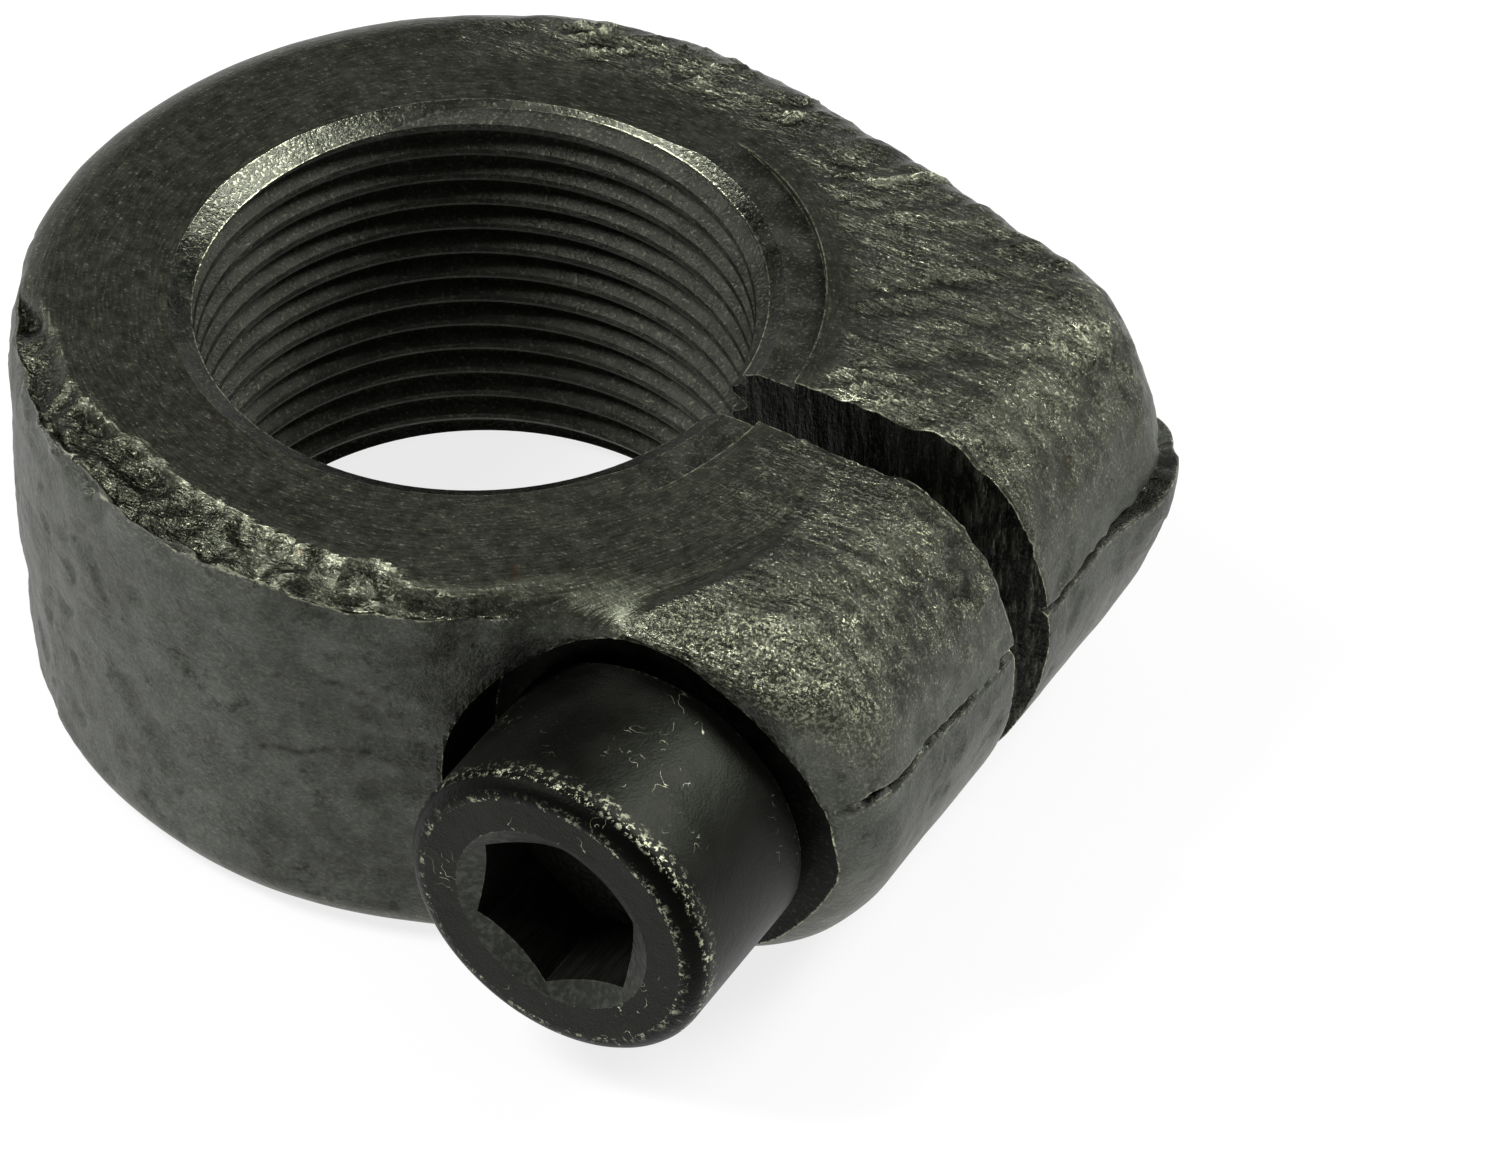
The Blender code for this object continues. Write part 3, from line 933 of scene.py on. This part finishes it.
# The look of each cut surface, as cut_metal takes it.
CUTS = {
    "faced": dict(base=(0.032, 0.034, 0.026), pale=(0.062, 0.065, 0.051), rough=0.38, depth=0.12,
                  glint_specks=0.14, worn=0.05),
    "chamfer": dict(base=(0.032, 0.034, 0.026), pale=(0.060, 0.063, 0.050), rough=0.23,
                    depth=0.06, glint_specks=0.20),
    "tapped": dict(base=(0.027, 0.028, 0.023), pale=(0.044, 0.046, 0.038), rough=0.50,
                   depth=0.18, glint_specks=0.08, worn=0.0),
    "sawn": dict(base=(0.0085, 0.0092, 0.0072), pale=(0.020, 0.022, 0.018), rough=0.44,
                 depth=0.14, glint_specks=0.06, worn=0.07, lay=(0.9, 1.0, 0.22)),
    "bored": dict(base=(0.0075, 0.0082, 0.0070), pale=(0.013, 0.014, 0.012), rough=0.50,
                  depth=0.05, glint_specks=0.03),
}


def collar_forging():
    """The forging, cut as a shop would cut it. Each tool leaves its own material."""
    body = forged_blank()
    body.data.materials.append(forged_metal())
    slot = {}
    for name, look in CUTS.items():
        slot[name] = len(body.data.materials)
        body.data.materials.append(cut_metal(name + "_black_oxide", **look))

    above = HEIGHT + 3.0
    face = [(FACED_R, FACED_Z), (FACED_R, above)]
    cut(body, turned("facing_cutter", face, 160), slot["faced"])
    cut(body, helical_rod("tap", BORE_CREST_R, BORE_ROOT_R, -1.2, above), slot["tapped"])
    cut(body, countersink(FACED_Z, 1), slot["chamfer"])
    cut(body, countersink(0.0, -1), slot["chamfer"])
    cut(body, saw_blade(), slot["sawn"])
    seat = [(SPOTFACE_R, -SPOTFACE_Y), (SPOTFACE_R, RING_R + 3.0)]
    cut(body, across_ears(turned("spotface_cutter", seat)), slot["bored"])
    clearance = [(CLEARANCE_R, 0.0), (CLEARANCE_R, RING_R)]
    cut(body, across_ears(turned("drill", clearance)), slot["bored"])
    small_tap = helical_rod("small_tap", TAP_CREST_R, TAP_ROOT_R, -RING_R - 3.0, 0.0, 60, 6)
    cut(body, across_ears(small_tap), slot["bored"])
    shade(body)
    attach(body, "collar")
    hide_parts("collar_body")
    return body


def screw_head():
    """The head about the Z axis, with marks along its rounded rim for the material: where it is
    painted dark, as shade, and where it is worn bare.

    The neck reaches into the shank.
    """
    neck = [(0.5, -1.0), (2.4, -1.0), (2.4, 0.0)]
    side = neck + [(HEAD_R - 0.25, 0.0), (HEAD_R, 0.25), (HEAD_R, 1.5), (HEAD_R, 3.0),
                   (HEAD_R, HEAD_H - 1.1)]
    bend = [math.radians(a) for a in range(0, 91, 15)]
    rim = [(HEAD_R - HEAD_RIM_W * (1 - math.cos(a)), HEAD_H - HEAD_RIM_H * (1 - math.sin(a)))
           for a in bend]
    face = [(HEAD_R - 0.71, HEAD_H), (HEAD_R - 1.2, HEAD_H), (1.0, HEAD_H)]
    around = 128
    head = turned("socket_screw", side + rim + face, around)
    # rim: where the rim is painted dark, as shade. worn_rim: its worn bare edges.
    marks = {"rim": [0.0, 1.0, 1.0, 1.0, 1.0, 1.0, 0.0],
             "worn_rim": [0.9, 0.9, 0.0, 0.0, 0.0, 0.2, 0.55]}
    for name, along_rim in marks.items():
        layer = head.data.attributes.new(name, "FLOAT", "POINT")
        shares = [0.0] * len(side) + along_rim + [0.0] * len(face)
        layer.data.foreach_set("value", [share for share in shares for _ in range(around)])
    return head


def screw_shank(material):
    """The threaded shank below the head, with a chamfered point."""
    length = TIP_Y - (HEAD_FACE_Y + HEAD_H)
    shank = helical_rod("shank", SHANK_ROOT_R, SHANK_CREST_R, -length, -0.4, 64)
    shank.data.materials.append(material)
    point = [(2.1, -length), (3.0, -length + 0.9), (3.0, 1.0)]
    cut(shank, turned("point", point, 64), 0, "INTERSECT")
    return shank


def socket_screw():
    """Head, socket and threaded shank about the Z axis, then laid across the ears."""
    screw = screw_head()
    screw.data.materials.append(screw_metal())
    screw.data.materials.append(socket_metal())
    cut(screw, screw_shank(screw.data.materials[0]), 0, "UNION")
    corner_r = SOCKET_AF / math.sqrt(3)
    socket = [(corner_r, HEAD_H - SOCKET_DEPTH), (corner_r, HEAD_H + 2)]
    hexagon = turned("key", socket, 6)
    hexagon.data.transform(Matrix.Rotation(SOCKET_TURN, 4, "Z"))
    cut(screw, hexagon, 1)
    lead = [(2.2, HEAD_H - 0.60), (3.22, HEAD_H), (3.65, HEAD_H + 0.25)]
    cut(screw, turned("lead", lead, 96), 1)
    across_ears(screw, HEAD_FACE_Y + HEAD_H)
    shade(screw)
    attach(screw, "screw")
    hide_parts("clamp_screw")
    return screw


# ---------------------------------------------------------------- studio

CAMERA_AZIMUTH = math.radians(29.95)
CAMERA_ELEVATION = math.radians(42.63)
CAMERA_ROLL = math.radians(0.85)
CAMERA_AIM = Vector((6.88, 5.03, 1.01))
CAMERA_DISTANCE = 223.73
LENS = 170.22
SENSOR_W = 36.0
FLOOR_HALF = 3000.0
FLOOR_GAP = 0.02
BOX_DISTANCE = 0.5  # of the lights, in metres
BOX_SIZE = 0.18

# The sky's glow by direction, as (low, high, start, end) over its height: low down, then overhead
LOW_GLOW = (0.08, 0.40, 0.95, 0.09)
HIGH_GLOW = (0.72, 0.95, 0.0, 0.45)


def camera():
    level = math.cos(CAMERA_ELEVATION)
    back = Vector((math.sin(CAMERA_AZIMUTH) * level, -math.cos(CAMERA_AZIMUTH) * level,
                   math.sin(CAMERA_ELEVATION)))
    data = bpy.data.cameras.new("camera")
    data.sensor_width = SENSOR_W
    data.lens = LENS
    data.clip_start = 0.01
    data.clip_end = 20.0
    obj = bpy.data.objects.new("camera", data)
    bpy.context.scene.collection.objects.link(obj)
    place = Matrix.Translation((CAMERA_AIM + back * CAMERA_DISTANCE) * MM)
    look = back.to_track_quat("Z", "Y").to_matrix().to_4x4()
    obj.matrix_world = place @ look @ Matrix.Rotation(CAMERA_ROLL, 4, "Z")
    bpy.context.scene.camera = obj


def soft_box(name, azimuth, elevation, radiance):
    """A square light that faces the origin from an azimuth and elevation in degrees."""
    data = bpy.data.lights.new(name, "AREA")
    data.shape = "RECTANGLE"
    data.size = BOX_SIZE
    data.size_y = BOX_SIZE
    data.energy = radiance * math.pi * BOX_SIZE * BOX_SIZE
    obj = bpy.data.objects.new(name, data)
    bpy.context.scene.collection.objects.link(obj)
    a, e = math.radians(azimuth), math.radians(elevation)
    away = Vector((math.cos(a) * math.cos(e), math.sin(a) * math.cos(e), math.sin(e)))
    obj.location = away * BOX_DISTANCE
    obj.rotation_euler = away.to_track_quat("Z", "Y").to_euler()


def white_floor():
    corners = np.array([(-1, -1, 0), (1, -1, 0), (1, 1, 0), (-1, 1, 0)]) * FLOOR_HALF
    floor = mesh_object("floor", corners - np.array([0, 0, FLOOR_GAP]), [(0, 1, 2, 3)])
    g = Graph("white_sweep")
    g.shader.inputs["Base Color"].default_value = (0.15, 0.15, 0.15, 1)
    g.shader.inputs["Roughness"].default_value = 0.9
    g.shader.inputs["Emission Color"].default_value = (1, 1, 1, 1)
    g.shader.inputs["Emission Strength"].default_value = 0.80
    floor.data.materials.append(g.material)


def soft_sky():
    """A world whose glow depends on height alone."""
    world = bpy.data.worlds.new("studio")
    world.use_nodes = True
    tree = world.node_tree
    place = tree.nodes.new("ShaderNodeTexCoord")
    split = tree.nodes.new("ShaderNodeSeparateXYZ")
    both = tree.nodes.new("ShaderNodeMath")
    both.operation = "ADD"
    tree.links.new(place.outputs["Generated"], split.inputs[0])
    for i, limits in enumerate((LOW_GLOW, HIGH_GLOW)):
        glow = smooth_range(tree.nodes, *limits)
        tree.links.new(split.outputs["Z"], glow.inputs["Value"])
        tree.links.new(glow.outputs["Result"], both.inputs[i])
    tree.links.new(both.outputs[0], tree.nodes["Background"].inputs["Color"])
    bpy.context.scene.world = world


def studio():
    white_floor()
    soft_box("right_box", 46, 48, 26.0)
    soft_box("left_box", 214, 52, 31.0)
    soft_sky()
    bpy.context.scene.view_settings.view_transform = "Standard"


camera()
studio()
collar_forging()
socket_screw()
